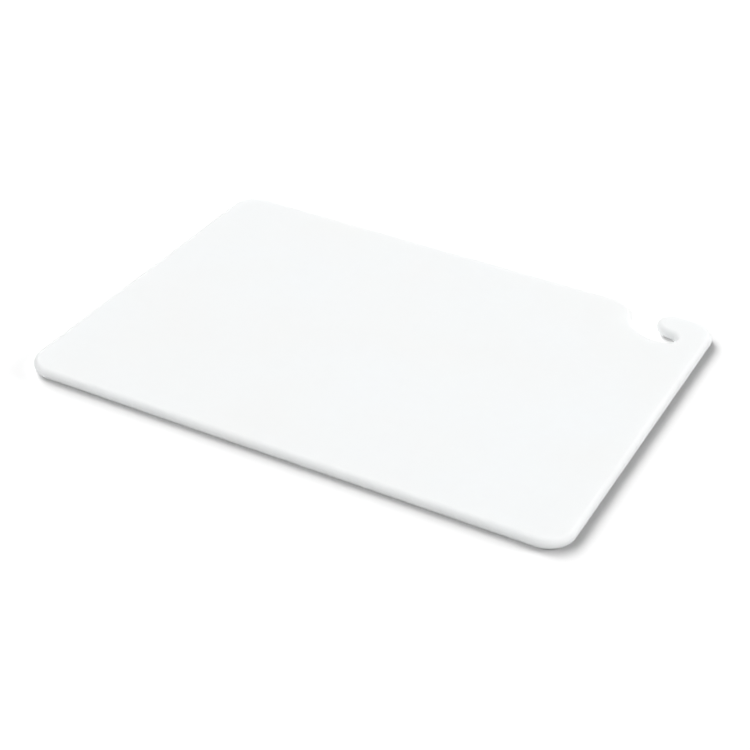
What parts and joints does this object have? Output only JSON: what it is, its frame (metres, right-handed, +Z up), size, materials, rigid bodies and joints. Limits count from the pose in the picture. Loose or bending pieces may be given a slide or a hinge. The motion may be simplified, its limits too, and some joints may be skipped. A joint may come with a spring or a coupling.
{
  "type": "cutting board",
  "caption": "Rectangular white plastic cutting board with rounded edges and a carrying hook cut through one back corner.",
  "frame": {"origin": "centre of the underside, on the surface that the board lies on", "axes": "+X along the long side, towards the end with the hook; +Y towards the long back edge that the hook opens onto; +Z up, out of the upper cutting face"},
  "size_m": [0.6096, 0.4572, 0.0127],
  "materials": {
    "board_plastic": "fine matt moulded grain"
  },
  "bodies": {
    "root": {"cutting_board": "board_plastic"}
  },
  "joints": []
}
